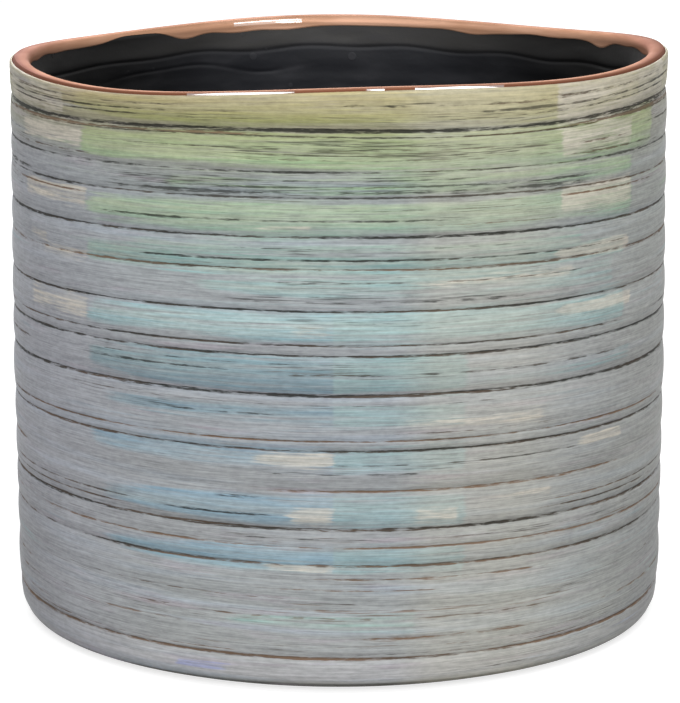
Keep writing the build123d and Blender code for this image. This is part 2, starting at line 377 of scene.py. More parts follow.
# %% Strength of each line by azimuth
SOFT_END = 7.0  # degrees over which a line fades in or out
REPEATS = np.array([0.0, 118.0, 236.0])  # degrees by which a line that stops is turned to come again
REPEAT_PLAY = 22.0  # more or less
COSINES, LEAST_SIZE = 12, 0.4  # in a random wave, and the size of its weakest part
SLOW_TURNS, QUICK_TURNS = (2, 12), (14, 80)  # waves per turn
FIRM, BROKEN_LOSS = 0.92, 0.62  # strength of an unbroken line, and what a broken one lacks
SLOW_LIFT, QUICK_LIFT, BROKEN_LIFT = 0.14, 0.06, 0.2
STRONGEST = 1.1
SEED = 164
rng = np.random.default_rng(SEED)


def turn_waves(count, slowest, fastest):
    """Random periodic waves, one row each: cosines of whole turns with random phases and sizes."""
    turns = rng.integers(slowest, fastest + 1, (count, COSINES, 1))
    phase = rng.uniform(0, 2 * np.pi, (count, COSINES, 1))
    size = rng.uniform(LEAST_SIZE, 1, (count, COSINES, 1))
    waves = (size * np.cos(turns * AZIMUTH + phase)).sum(axis=1)
    return waves / np.sqrt((size**2).sum(axis=1) / 2)


def between(degrees, start, stop, soft):
    """1 from start to stop and 0 elsewhere, round the pot, with ends that fade over some degrees."""
    middle, half = (start + stop) / 2, (stop - start) / 2
    away = np.abs((degrees - middle + 180) % 360 - 180)
    return np.where(half >= 90, 1.0, 1 - smooth_step(away, half - soft, half + soft))


count = len(TURNED_LINES)
turned_on = REPEATS + rng.uniform(-REPEAT_PLAY, REPEAT_PLAY, (count, 3)) * [0, 1, 1]
window = np.max([between(DEGREES - turned_on[:, [i]], START, STOP, SOFT_END) for i in range(3)], axis=0)
slow, quick = turn_waves(count, *SLOW_TURNS), turn_waves(count, *QUICK_TURNS)
lifted = FIRM - BROKEN_LOSS * BROKEN + SLOW_LIFT * slow + (QUICK_LIFT + BROKEN_LIFT * BROKEN) * quick
strength = window * np.clip(lifted, 0, STRONGEST)
print("lines cover", (100 * (strength > 0.3).mean()).round(1), "percent of their rings")

# %% [markdown]
# ## Rows that follow the lines
#
# A line is about a millimetre wide and the wall is 164 mm high, so even rows would waste most of the mesh.
# Instead each line brings five rows of its own, and plain rows fill the gaps. The rows then drift with the
# lines, because the height of a row at an azimuth is its level plus the drift there.

# %% Rows of the pearl glaze
PEARL_TOP = RIM_HEIGHT - 0.6  # where the pearl glaze thins out on the lip
PLAIN_STEP = 1.6  # largest gap between two rows
CLOSEST_ROWS = 0.14
THIN_EDGE = 0.9  # height over which the glaze thins out at its two ends
LINE_ROWS = np.array([-1.4, -0.6, 0, 0.6, 1.4])  # in half widths of the line
EDGE_ROWS = THIN_EDGE * np.array([0, 0.1, 0.3, 0.6, 1])

line_rows = (LEVEL + HALF_WIDTH * LINE_ROWS).ravel()
plain_rows = np.arange(BARE_FOOT, PEARL_TOP, PLAIN_STEP)
plain_rows = plain_rows[np.abs(plain_rows[:, None] - line_rows).min(axis=1) > PLAIN_STEP / 2]
levels = np.sort(np.concatenate([line_rows, plain_rows, BARE_FOOT + EDGE_ROWS, PEARL_TOP - EDGE_ROWS]))
levels = levels[(levels >= BARE_FOOT) & (levels <= PEARL_TOP)]
levels = levels[np.concatenate([[True], np.diff(levels) > CLOSEST_ROWS])][:, None]
print(len(levels), "rows on the wall")

# %% [markdown]
# ## Lustre and cream
#
# Lustre is a metal film in the glaze. Its long patches along the lands are a painted reflection of the
# front softbox in that film, and their colour goes from yellow-green at the rim to blue lower down. Here
# and there the glaze is thick and pale instead, the colour of cream. The tables give these patches by
# level, half a height, start and stop in degrees, strength, and how far the start is drawn to a point: 1 as
# by a brush, 0 for a square one.

# %% Patches of lustre and cream
LUSTRE_REFLECTION_PATCHES = [
    (159.4, 5.2, -50, 61, 1.0, 1),
    (148.8, 5.4, -47, 67, 1.0, 0.3),
    (140.2, 3.6, -29, 58, 0.68, 0.4),
    (131.4, 4.9, -46, 58, 1.0, 0.6),
    (122.8, 2.8, -36, 44, 0.55, 1),
    (118.2, 3.2, -46, 56, 0.9, 0.2),
    (119.4, 1.4, -46, -28, 1.4, 0),
    (112.6, 3.4, -24, 52, 0.75, 1),
    (102.4, 4.6, -46, 56, 0.9, 0.3),
    (89.6, 5.0, -46, 21, 1.0, 0.3),
    (88.0, 3.4, 21, 58, 0.4, 0),
    (78.6, 3.6, -42, 21, 0.8, 1),
    (66.6, 3.8, -46, 21, 0.9, 0.6),
    (52.2, 4.6, -44, 21, 1.0, 1),
    (38.4, 4.0, -42, 21, 1.0, 1),
    (21.2, 3.2, -18, 13, 0.7, 1),
    (6.4, 0.9, -28, -19, 1.4, 0),
]
CREAM_PATCHES = [
    (158.4, 6.5, 38, 62, 0.8, 0),
    (158.8, 5.5, 62, 74, 0.8, 0),
    (148.6, 4.4, 39, 58, 0.65, 0),
    (133.9, 3.9, 39, 58, 0.9, 0),
    (118.9, 2.2, 38, 57.5, 1.0, 0.5),
    (103.6, 1.4, 38, 58, 1.0, 0.6),
    (66.0, 1.6, 44, 56, 1.0, 0.4),
    (149.2, 3.4, -68, -47, 0.65, 0.3),
    (158.0, 4.6, -78, -52, 0.6, 0.5),
    (133.2, 3.6, -67, -46, 0.65, 0.3),
    (120.6, 1.6, -66, -58, 0.7, 0.5),
    (117.0, 1.8, -60, -46, 0.6, 0.4),
    (103.0, 4.2, -65, -46, 0.55, 0.2),
    (128.2, 2.4, -14, -4, 0.5, 1),
    (101.0, 3.0, -8, -1, 0.5, 0.5),
    (66.4, 2.8, -14, -1, 0.9, 0.7),
    (50.6, 3.2, -8, -1, 0.8, 0.4),
    (50.8, 2.8, 12, 20, 0.6, 0.2),
    (36.4, 1.8, -13, -1, 0.8, 0.8),
    (113.6, 1.6, 10, 42, 0.6, 1),
    (76.0, 2.6, 8, 36, 0.55, 1),
    (54.0, 2.6, 22, 38, 0.6, 1),
]
CRISP_END, POINT_END = 0.7, 2.5  # degrees over which a patch stops, and more at a pointed start
POINT_REACH = (-6.0, 30.0)  # degrees from the start over which a pointed patch widens
POINT_SHARE = 0.3  # height of the point
DOME = (0.3, 1.5)  # in half heights: full up to here, gone from there
PATCH_PLAY = 16.0  # degrees, more or less, on the hidden half


def patch_field(patches):
    """Strongest patch at each point: a window along the azimuth times a dome over the level.

    The dome narrows towards the start of a pointed patch, where a brush sets down. The patches come again
    on the hidden half of the pot, each turned a little more or less.
    """
    mid, half, start, stop, power, point = np.array(patches).T[:, :, None, None]
    field = np.zeros((len(levels), COLUMNS))
    for turn in (0, 180):
        along = DEGREES - turn - (turn > 0) * rng.uniform(-PATCH_PLAY, PATCH_PLAY, mid.shape)
        taper = 1 - point * (1 - smooth_step((along - start + 180) % 360 - 180, *POINT_REACH))
        tall = half * (POINT_SHARE + (1 - POINT_SHARE) * taper)
        dome = 1 - smooth_step(np.abs(levels - mid) / tall, *DOME)
        past_middle = (along - (start + stop) / 2) % 360 < 180
        soft_start = between(along, start, stop, CRISP_END + POINT_END * point)
        window = np.where(past_middle, between(along, start, stop, CRISP_END), soft_start)
        field = np.maximum(field, (power * dome * window).max(axis=0))
    return field


# the lustre patches are a painted reflection of the front softbox, and come again on the hidden half
lustre = patch_field(LUSTRE_REFLECTION_PATCHES)
cream = patch_field(CREAM_PATCHES)
shares = [round(100 * float((patches > 0.5).mean())) for patches in (lustre, cream)]
print("lustre on", shares[0], "percent of the wall, cream on", shares[1])

# %% [markdown]
# ## The pearl glaze
#
# The skin of the glaze is the wall plus both coats, cut in by every line and thinned at its top and foot.
# Each line has a bell-shaped section, exp(-d^2 / w^2). The sum over the lines is a product of two arrays:
# one holds the bell of every line at every row, the other the strength of every line at every azimuth. The
# same product gives fields for the finish: how deep the scrape is, how brown, where flecks gather round a
# broken line, and a dark edge beside a deep one, partly glaze that ran thin and partly painted shade of the
# groove. The hidden back has rows in every groove and on every land, so that it never comes through the
# front.

# %% Pearl glaze mesh
FLECK_SPREAD = 1.7  # how far the flecks scatter from a broken line
THIN_GLAZE_AND_SHADE_SPREAD, THIN_GLAZE_AND_SHADE_RISE = 2.4, 1.0  # how wide and how far above a line its dark edge lies: thin glaze and painted shade
DEEPEST_SHARE = 0.8  # of the glaze, that a line may cut
LEAST = 1e-3  # keeps a division from zero


def bells(spread, rise=0.0):
    """Bell of every line, one column each, at every row: exp(-d^2 / spread^2), moved up by a rise."""
    return np.exp(-(((levels - LEVEL[:, 0] - rise) / spread) ** 2))


def coat_front(level, coat):
    """Radius and height of a coat's outer face: the wall less the lip's draw plus the swell, drifting."""
    return wall_radius(level, coat) - lip_draw(level) + hand_swell(level), level + line_drift(level)


narrow = bells(HALF_WIDTH[:, 0])
scrape = np.clip(narrow @ strength, 0, 1)
brown = (narrow @ (strength * BROWN)) / np.maximum(narrow @ strength, LEAST)
fleck = np.clip(bells(FLECK_SPREAD) @ (window * BROKEN), 0, 1)
# the dark edge above a deep line: partly glaze that ran thin, partly painted shade of the groove
thin_glaze_and_groove_shade = np.clip(bells(THIN_GLAZE_AND_SHADE_SPREAD, THIN_GLAZE_AND_SHADE_RISE) @ (strength * DEPTH), 0, 1)
from_edge = np.minimum(levels - BARE_FOOT, PEARL_TOP - levels)
full = np.sqrt(1 - (1 - np.clip(from_edge / THIN_EDGE, 0, 1)) ** 2)
cut = np.minimum(narrow @ (strength * DEPTH), DEEPEST_SHARE * PEARL)

back = np.sort(np.concatenate([GROOVE_LEVELS, GROOVE_LEVELS[:-1] + LAND_HEIGHTS[1:-1] / 2]))[::-1, None]
back_height = back + line_drift(back)
fields = {"scrape": scrape, "brown": brown, "fleck": fleck, "thin_glaze_and_groove_shade": thin_glaze_and_groove_shade, "lustre": lustre, "cream": cream}
hidden = np.zeros((len(back), COLUMNS))
fields = {name: np.concatenate([values, hidden]) for name, values in fields.items()}
fields["turned_level"] = np.concatenate([levels, back]) * MM + np.zeros((1, COLUMNS))
pearl_glaze = turned_skin("pearl_glaze_skin", [
    coat_front(levels, COPPER + (PEARL - cut) * full),
    (wall_radius(back, COPPER / 2), back_height),
], len(levels), fields)

# %% [markdown]
# ## The copper coat
#
# The copper covers the whole outer wall under the pearl glaze, rolls over the lip and runs a little way
# down inside, where it was poured over the black. That inner edge is uneven, with a few drips, so its depth
# is a function of the azimuth: quick random waves plus bumps where a drip hangs or the pour fell short.

# %% Copper mesh
COPPER_DEPTH, COPPER_LEAST = 3.0, 0.9  # rim down to the copper's inner edge, on average and at least
COPPER_WAVE, COPPER_TURNS = 0.16, (8, 36)
COPPER_RUNS = [  # degrees, width in degrees, how far longer or shorter
    (-147.0, 4.0, 1.3), (-135.0, 8.0, -2.2), (-164.0, 12.0, 1.2), (175.0, 9.0, 0.4), (152.0, 4.0, 0.8),
    (134.0, 9.0, -0.5), (117.0, 3.5, 1.8), (95.0, 8.0, 0.8), (-95.0, 8.0, 0.5), (-60.0, 7.0, 1.2),
    (-20.0, 9.0, -0.9), (12.0, 4.0, 1.6), (48.0, 8.0, -0.7), (70.0, 5.0, 1.1),
]
ON_BLACK, IN_BLACK = 0.16, 0.1  # the copper stands on the black, and its edge dips into it
EDGE_FROM = 0.86  # share of the depth where the edge starts to dip
UNDER, UNDER_DROP = 0.3, 0.1  # the copper's hidden side lies so far out and down
UNDER_SHARES = np.linspace(0.9, 0.2, 5)[:, None]  # of the depth, back up the hidden side
WALL_ROWS, BEVEL_ROWS, INNER_ROWS = 60, 12, 26
CLOSER = 1.3  # over 1, the rows inside lie closer near the top

run_at, run_width, run_length = np.array(COPPER_RUNS).T[:, :, None]
away = (DEGREES - run_at + 180) % 360 - 180
depth_end = COPPER_DEPTH + COPPER_WAVE * turn_waves(1, *COPPER_TURNS)[0]
depth_end = depth_end + (run_length * np.exp(-((away / run_width) ** 2))).sum(axis=0)
depth_end = np.maximum(depth_end, COPPER_LEAST)

rim_line = RIM_HEIGHT + rim_rise
wall_levels = np.linspace(BARE_FOOT, RIM_HEIGHT - LIP_TALL, WALL_ROWS)[:-1]
wall_levels = np.sort(np.concatenate([wall_levels, GROOVE_LEVELS]))
lip_levels = RIM_HEIGHT - LIP_TALL * (1 - np.sin(np.linspace(0, np.pi / 2, BEVEL_ROWS)))
copper_levels = np.concatenate([wall_levels, lip_levels])[:, None]
share = np.linspace(0, 1, INNER_ROWS)[1:, None] ** CLOSER
depth = share * depth_end
dip = (ON_BLACK + IN_BLACK) * smooth_step(share, EDGE_FROM, 1.0)
under_depth = UNDER_SHARES * depth_end
copper_coat = turned_skin("copper_coat_skin", [
    coat_front(copper_levels, COPPER),
    (lip_inside(depth) - ON_BLACK + dip, rim_line - depth),
    (lip_inside(under_depth) + UNDER, rim_line - under_depth - UNDER_DROP),
    (wall_radius(back, COPPER / 4), back_height),
], len(copper_levels) + len(share), {})
print("the copper runs", depth_end.min().round(1), "to", depth_end.max().round(1), "mm down inside")

# %% [markdown]
# ## The black inside
#
# The inside was thrown quickly and left lumpy: soft throwing rings, dents from fingers, and a crease below
# the lip where the thumb turned, with some shorter ones below it. Waves that repeat round the pot and
# change with the height give the lumps, which all stand in from the clay behind them. The skin starts at
# the middle of the floor, runs out and up the bore to under the copper, and comes back on its hidden side,
# so it has a pole at each end. A field keeps how far each point lies below the crease, for the finish.

# %% Black inside mesh
BLACK_TOP_DEPTH = 0.5  # the black ends this far below the rim, under the copper
BORE_DEPTH = RIM_HEIGHT - FLOOR_HEIGHT - FLOOR_ROUND  # rim down to the floor's rounding
FINE_DEPTH = 32.0  # the part of the bore that shows, with close rows
CREASES = [  # rim down to the crease, wander, cut, half a width, start and stop in degrees
    (9.4, 0.4, 0.3, 0.5, *ALL_ROUND),
    (14.5, 0.9, 0.24, 0.5, 190, 232),
    (21.0, 0.8, 0.12, 0.8, 128, 176),
    (16.0, 0.6, 0.12, 0.6, 84, 132),
    (27.0, 1.0, 0.15, 0.9, -40, 70),
]
CREASE_TURNS = (2, 18)
ROLL, ROLL_DROP, ROLL_WIDE = 0.14, 2.6, 2.2  # the clay rolls in below the thumb's crease
DENT, DENTS, DENT_TURNS, DENT_TALL = 0.12, 16, (3, 24), 16.0
RING, RING_STEP, RING_SHIFT = 0.04, 5.3, 0.8  # throwing rings of the bore
FLOOR_RING, FLOOR_RING_STEP = 0.15, 7.0
SMOOTH_LIP = (3.5, 9.0)  # depths between which the lumps set in
MOST_OUT = 0.5
POLE_RING = 3.0  # radius of the floor's first row
ROUND_ROWS, FLOOR_ROWS, BORE_ROWS, HIDDEN_ROWS = 9, 26, (56, 90, 10), 8


def lumps(depth):
    """Random lumps: a sum of cosines of whole turns whose phase also moves with the depth."""
    turns = rng.integers(DENT_TURNS[0], DENT_TURNS[1] + 1, (DENTS, 1, 1))
    climb = rng.uniform(-2 * np.pi / DENT_TALL, 2 * np.pi / DENT_TALL, (DENTS, 1, 1))
    phase = rng.uniform(0, 2 * np.pi, (DENTS, 1, 1))
    return np.cos(turns * AZIMUTH + climb * depth + phase).sum(axis=0) / np.sqrt(DENTS / 2)


def lumpy_bore(depth):
    """Bore radius by depth, with creases, rings and dents, and the depth below the thumb's crease."""
    at, wander, cut, half, start, stop = np.array(CREASES).T[:, :, None]
    below = depth - (at + wander * turn_waves(len(CREASES), *CREASE_TURNS))[:, None, :]
    deep = cut * between(DEGREES, start, stop, SOFT_END)
    crease = (deep[:, None, :] * np.exp(-((below / half[:, None]) ** 2))).sum(axis=0)
    roll = ROLL * np.exp(-(((below[0] - ROLL_DROP) / ROLL_WIDE) ** 2))
    rings = RING * np.cos(2 * np.pi * depth / RING_STEP + RING_SHIFT * np.cos(AZIMUTH))
    below_lip = smooth_step(depth, *SMOOTH_LIP)
    above_floor = 1 - smooth_step(depth, RIM_HEIGHT - 4 * FLOOR_ROUND, BORE_DEPTH)
    lumpy = np.minimum(crease - roll + rings + DENT * lumps(depth), MOST_OUT)
    return lip_inside(depth) + below_lip * above_floor * lumpy, below[0]


def inside_height(depth):
    """Height by depth below the rim, which carries the rim's rise some way down."""
    return RIM_HEIGHT - depth + rim_rise * smooth_step(-depth, -RIM_REACH, 0)


arc = np.linspace(0, np.pi / 2, ROUND_ROWS)[:, None]
round_radius = BORE_RADIUS - FLOOR_ROUND
floor_radius = np.linspace(POLE_RING, round_radius, FLOOR_ROWS)[:-1, None]
stops = [BORE_DEPTH, FINE_DEPTH, INNER_ROUND, BLACK_TOP_DEPTH]
bore_depth = [np.linspace(*ends)[1:] for ends in zip(stops[:-1], stops[1:], BORE_ROWS)]
bore_depth = np.concatenate(bore_depth)[:, None]
bore_radius, below_crease = lumpy_bore(bore_depth)
hidden_depth = np.linspace(BLACK_TOP_DEPTH, BORE_DEPTH, HIDDEN_ROWS)[:, None]
floor_turn = (round_radius + FLOOR_ROUND * np.sin(arc), FLOOR_HEIGHT + FLOOR_ROUND * (1 - np.cos(arc)))
rows_below, rows_hidden = len(floor_radius) + len(arc), len(hidden_depth) + len(arc)
crease_field = np.pad(below_crease, [(rows_below, rows_hidden), (0, 0)], constant_values=RIM_HEIGHT)
poles = (FLOOR_HEIGHT + FLOOR_RING, FLOOR_HEIGHT - BLACK)
crease_field = np.append(crease_field, [RIM_HEIGHT for pole in poles])
inner_glaze = turned_skin("inner_glaze_skin", [
    (floor_radius, FLOOR_HEIGHT + FLOOR_RING * np.cos(2 * np.pi * floor_radius / FLOOR_RING_STEP)),
    floor_turn,
    (bore_radius, inside_height(bore_depth)),
    (lip_inside(hidden_depth) + BLACK, inside_height(hidden_depth)),
    (floor_turn[0][::-1] + BLACK, floor_turn[1][::-1] - BLACK),
], rows_below + len(bore_depth), {"below_crease": crease_field}, poles)

# %% [markdown]
# ## Which coat stands for which solid
#
# The three skins take the places of the three coats in the frame, and everything rides on the pot's one
# body. The clay body keeps its solid, because only its turned foot shows, and it only needs a finish.

# %% Riding and replacing
for piece, node, slot in [
    (pearl_glaze, "pearl_glaze", "pearl_glaze"),
    (copper_coat, "copper_coat", "copper_lustre"),
    (inner_glaze, "inner_glaze", "black_glaze"),
]:
    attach(piece, "root")
    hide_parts(node)
    print(piece.name, "stands for", node)

# %% [markdown]
# ## Writing shader nodes
#
# A finish is a small tree of nodes. A few short helpers keep it readable. All of them write to `tree`, the
# node tree in hand, which each finish sets first. One adds a node and fills its inputs with numbers or
# links, and the others do arithmetic, mix two colours or read a field of the grid. Colours are written as
# they look on a screen, from 0 to 255, and turned into linear light for the shader.

# %% Node helpers


def tone(red, green, blue):
    """A colour as seen on a screen, in linear light.

    That is c / 12.92 for a share c below 0.04045, and else ((c + 0.055) / 1.055)^2.4.
    """
    seen = np.array([red, green, blue]) / 255
    linear = np.where(seen <= 0.04045, seen / 12.92, ((seen + 0.055) / 1.055) ** 2.4)
    return (*linear.tolist(), 1.0)


def fill(node, inputs):
    """Fills a node's inputs, by name or in order, with sockets or constants."""
    for key, value in inputs.items() if isinstance(inputs, dict) else enumerate(inputs):
        if isinstance(value, bpy.types.NodeSocket):
            tree.links.new(value, node.inputs[key])
        else:
            node.inputs[key].default_value = value


def put(kind, inputs=(), **settings):
    """Adds a shader node, sets its settings and fills its inputs."""
    made = tree.nodes.new("ShaderNode" + kind)
    for key, value in settings.items():
        setattr(made, key, value)
    fill(made, inputs)
    return made


def calc(operation, *values):
    """One arithmetic step on sockets or numbers."""
    return put("Math", values, operation=operation).outputs[0]


def remap(value, low, high, to_low=0.0, to_high=1.0):
    """Value moved smoothly from the range low..high to to_low..to_high, and held there outside it."""
    inputs = [value, low, high, to_low, to_high]
    return put("MapRange", inputs, interpolation_type="SMOOTHSTEP").outputs[0]


def both(first, second):
    """Product of two masks."""
    return calc("MULTIPLY", first, second)


def mix(share, under, over, mode="MIX"):
    """Colour over laid on colour under by a share from 0 to 1."""
    return put("Mix", {0: share, 6: under, 7: over}, data_type="RGBA", blend_type=mode).outputs[2]


def field(name):
    """A field of the grid, read from its attribute."""
    return put("Attribute", attribute_name=name).outputs["Fac"]


def own_place():
    """The point in the object's own space, and its x and y."""
    place = put("TexCoord").outputs["Object"]
    return place, *put("SeparateXYZ", [place]).outputs[:2]


def axis_distance(x, y):
    """How far a point lies from the pot's axis."""
    flat = put("CombineXYZ", [x, y, 0.0]).outputs[0]
    return put("VectorMath", [flat], operation="LENGTH").outputs["Value"]


def bump(height, strength, distance):
    """Normal that is tilted by a height."""
    return put("Bump", {"Strength": strength, "Distance": distance, "Height": height}).outputs[0]


def new_finish(name, piece):
    """Gives a piece a new material, and returns its node tree, which holds only the shader."""
    material = bpy.data.materials.new(name)
    material.use_nodes = True
    piece.data.materials.clear()
    piece.data.materials.append(material)
    print(piece.name, "gets", name)
    return material.node_tree


def wire(inputs):
    """Fills the shader's inputs, which completes the finish in hand."""
    fill(tree.nodes["Principled BSDF"], inputs)
    print("a finish of", len(tree.nodes), "nodes")


print("a mid grey of 128 is", round(tone(128, 128, 128)[0], 3), "in linear light")

# %% [markdown]
# ## Two effects that several finishes share
#
# Brush streaks are noise that is stretched round the pot: coarse along the stroke, fine across it. Because
# the noise is a solid pattern in space, it meets itself at the back without a seam. Fired specks are small
# dots where iron in the clay burns through. Both are node groups, so that each finish places them with its
# own values, and both put out only plain values.

# %% Node groups for streaks and specks
FLOAT, VECTOR = "NodeSocketFloat", "NodeSocketVector"


def new_group(name, inputs, output):
    """An empty shader group that takes a place and some values and gives one value, and its sockets."""
    group = bpy.data.node_groups.new(name, "ShaderNodeTree")
    group.interface.new_socket("Place", in_out="INPUT", socket_type=VECTOR)
    for socket in inputs:
        group.interface.new_socket(socket, in_out="INPUT", socket_type=FLOAT)
    group.interface.new_socket(output, in_out="OUTPUT", socket_type=FLOAT)
    return group, group.nodes.new("NodeGroupInput").outputs, group.nodes.new("NodeGroupOutput")


brush_streaks, given, result = new_group("brush_streaks", ["Along", "Across", "Seed"], "Streak")
tree = brush_streaks
stretch = put("CombineXYZ", [given["Along"], given["Along"], given["Across"]])
stretched = put("VectorMath", [given["Place"], stretch.outputs[0]], operation="MULTIPLY")
grain = {"Vector": stretched.outputs[0], "W": given["Seed"], "Scale": 1.0, "Detail": 2.0, "Roughness": 0.6}
noise = put("TexNoise", grain, noise_dimensions="4D")
fill(result, [put("MapRange", [noise.outputs[0], 0.25, 0.75, 0.0, 1.0]).outputs[0]])

fired_specks, given, result = new_group("fired_specks", ["Per Metre", "Size", "Share"], "Speck")
tree = fired_specks
cells = put("TexVoronoi", {"Vector": given["Place"], "Scale": given["Per Metre"]})
chance = put("SeparateColor", [cells.outputs["Color"]])
chosen = calc("LESS_THAN", chance.outputs[0], given["Share"])
own_size = both(given["Size"], calc("ADD", chance.outputs[1], 0.4))
dot = remap(calc("SUBTRACT", own_size, cells.outputs["Distance"]), 0.0, 0.1)
fill(result, [both(dot, chosen)])


def streaks(place, along, across, seed):
    """Brush streaks in a finish. Along and across are grains per metre."""
    return put("Group", node_tree=brush_streaks, inputs=[place, along, across, seed]).outputs[0]


def specks(place, per_metre, size, share):
    """Fired specks in a finish. Size is in cells, and share is how many of the cells have one."""
    return put("Group", node_tree=fired_specks, inputs=[place, per_metre, size, share]).outputs[0]


print("groups:", brush_streaks.name, "and", fired_specks.name)

# %% [markdown]
# ## The pearl finish, part one: where things are
#
# The glaze is a lilac grey that carries fine streaks, and lustre and cream lie on it in patches. The place
# that the streaks read is the point's own x and y, with its turned level as height, so every streak follows
# the drifting lines of the wheel. Streaks of eight grains follow: broad ones for a whole land, strokes,
# bristles and scuffs for the brush, torn and ragged ones for broken glaze, a mottle, and a slow tint.

# %% Places and streaks of the pearl finish
PEARL_GRAINS = [  # grains per metre along and across the stroke, and a seed
    (9, 240, 1), (20, 800, 2), (60, 2300, 3), (90, 1500, 14),
    (70, 2400, 6), (330, 3000, 4), (420, 1000, 15), (26, 330, 5),
]

tree = new_finish("streaked_pearl_glaze", pearl_glaze)
level = field("turned_level")
level_share = calc("DIVIDE", level, RIM_HEIGHT * MM)
_, x, y = own_place()
place = put("CombineXYZ", [x, y, level]).outputs[0]
broad, stroke, bristle, scuff, torn, ragged, mottle, tint = [streaks(place, *row) for row in PEARL_GRAINS]
print("the finest streaks are", round(1000 / max(across for _, across, _ in PEARL_GRAINS), 2), "mm wide")

# %% [markdown]
# ## The pearl finish, part two: colour of the glaze
#
# Both the bare glaze and the lustre change with the height, so each has its own ramp from the ground to the
# rim, and the glaze ends dark at the foot. The lustre has two ramps, a deep one that gathers above the
# grooves and a pale one for the rest, and streaks mix them. Its patches, a painted reflection of the front
# softbox in the film, come from the grid's fields, and streaks fray their edges. The glaze is warmer on the
# right and cooler on the left, yellower under the lip, and its lustre is teal in the right half. Low at the
# sides the glaze is painted darker, a painted shade where the wall turns from the lamps, and a band right
# of the middle is painted paler, a painted reflection of the right softbox. These tints go by x, in metres,
# and by the share of the height.

# %% Pearl colours
PEARL_RAMP = [  # level in millimetres, tone
    (2.4, (84, 82, 74)), (3.4, (176, 176, 174)), (4.6, (188, 188, 190)), (14, (165, 168, 168)),
    (30, (159, 163, 164)), (44, (161, 164, 166)), (61, (155, 158, 160)), (75, (161, 165, 169)),
    (88, (157, 160, 164)), (100, (165, 169, 172)), (123, (158, 164, 166)), (140, (150, 156, 155)),
    (150, (160, 160, 147)), (157, (162, 157, 130)), (163, (180, 167, 136)),
]
LUSTRE_REFLECTION_RAMPS = [  # level in millimetres, deep tone, pale tone of the painted lustre reflection
    (8, (152, 160, 200), (166, 172, 206)),
    (21, (146, 178, 172), (174, 190, 184)),
    (38, (130, 159, 175), (166, 184, 190)),
    (66, (122, 148, 166), (159, 175, 183)),
    (88, (110, 137, 149), (142, 159, 164)),
    (103, (142, 178, 186), (178, 196, 194)),
    (118, (132, 164, 164), (172, 184, 174)),
    (131, (142, 169, 146), (176, 189, 164)),
    (146, (146, 171, 133), (181, 192, 156)),
    (157, (150, 150, 100), (166, 164, 124)),
    (163, (180, 166, 120), (184, 174, 140)),
]
LILAC, BLUE, WARM = tone(182, 171, 181), tone(152, 167, 183), tone(166, 166, 158)
# a darker grey for painted shade low at the sides, and a pale cream for a painted softbox reflection
COOL, PAINTED_SIDE_SHADE, PAINTED_SOFTBOX_VEIL = tone(172, 173, 182), tone(136, 137, 140), tone(186, 182, 166)
TEAL, YELLOW, CREAM = tone(156, 182, 174), tone(202, 194, 158), tone(200, 193, 180)
RIGHT, LEFT, SIDES = (0.02, 0.09), (-0.04, -0.09), (0.07, 0.092)  # along x, from no tint to full
BAND_START, BAND_END = (0.012, 0.028), (0.07, 0.045)  # of the painted softbox reflection, along x
LIP_FLUSH, RIGHT_HALF = (-0.01, 0.08), (-0.002, -0.001)
AT_LIP, BELOW_LIP = (0.935, 0.95), (0.93, 0.86)  # in shares of the height
BLUE_PART, LOW_PART = (0.7, 0.6), (0.32, 0.16)


def by_level(stops):
    """Colour that runs with the height through stops, which are pairs of a level and a tone."""
    made = put("ValToRGB", [level_share])
    elements = made.color_ramp.elements
    while len(elements) < len(stops):
        elements.new(1.0)
    for element, (at, colour) in zip(elements, stops):
        element.position = at / RIM_HEIGHT
        element.color = tone(*colour)
    return made.outputs[0]


def frayed(mask, streak, reach, start, end):
    """A mask whose edge is moved by a streak, up to half of reach each way, and then made firm again."""
    return remap(calc("MULTIPLY_ADD", calc("SUBTRACT", streak, 0.5), reach, mask), start, end)


glaze = by_level(PEARL_RAMP)
for mask, colour in [
    (remap(tint, 0.55, 0.9, 0, 0.5), LILAC),
    (remap(broad, 0.5, 0.85, 0, 0.35), BLUE),
    (remap(x, *RIGHT, 0, 0.5), WARM),
    (both(remap(x, *LEFT, 0, 0.6), remap(level_share, *BELOW_LIP)), COOL),
    # low at the sides: painted shade where the wall turns from the lamps
    (both(remap(calc("ABSOLUTE", x), *SIDES, 0, 0.5), remap(level_share, *LOW_PART)), PAINTED_SIDE_SHADE),
]:
    glaze = mix(mask, glaze, colour)

gathered = -0.4
for part, share in [(stroke, 0.9), (field("thin_glaze_and_groove_shade"), 0.9), (broad, 0.5)]:
    gathered = calc("MULTIPLY_ADD", part, share, gathered)
deep, pale = (by_level([(row[0], row[i]) for row in LUSTRE_REFLECTION_RAMPS]) for i in (1, 2))
film = mix(remap(gathered, 0.0, 0.9), pale, deep)
film = mix(both(remap(x, *RIGHT_HALF, 0, 0.4), remap(level_share, *BLUE_PART)), film, TEAL)
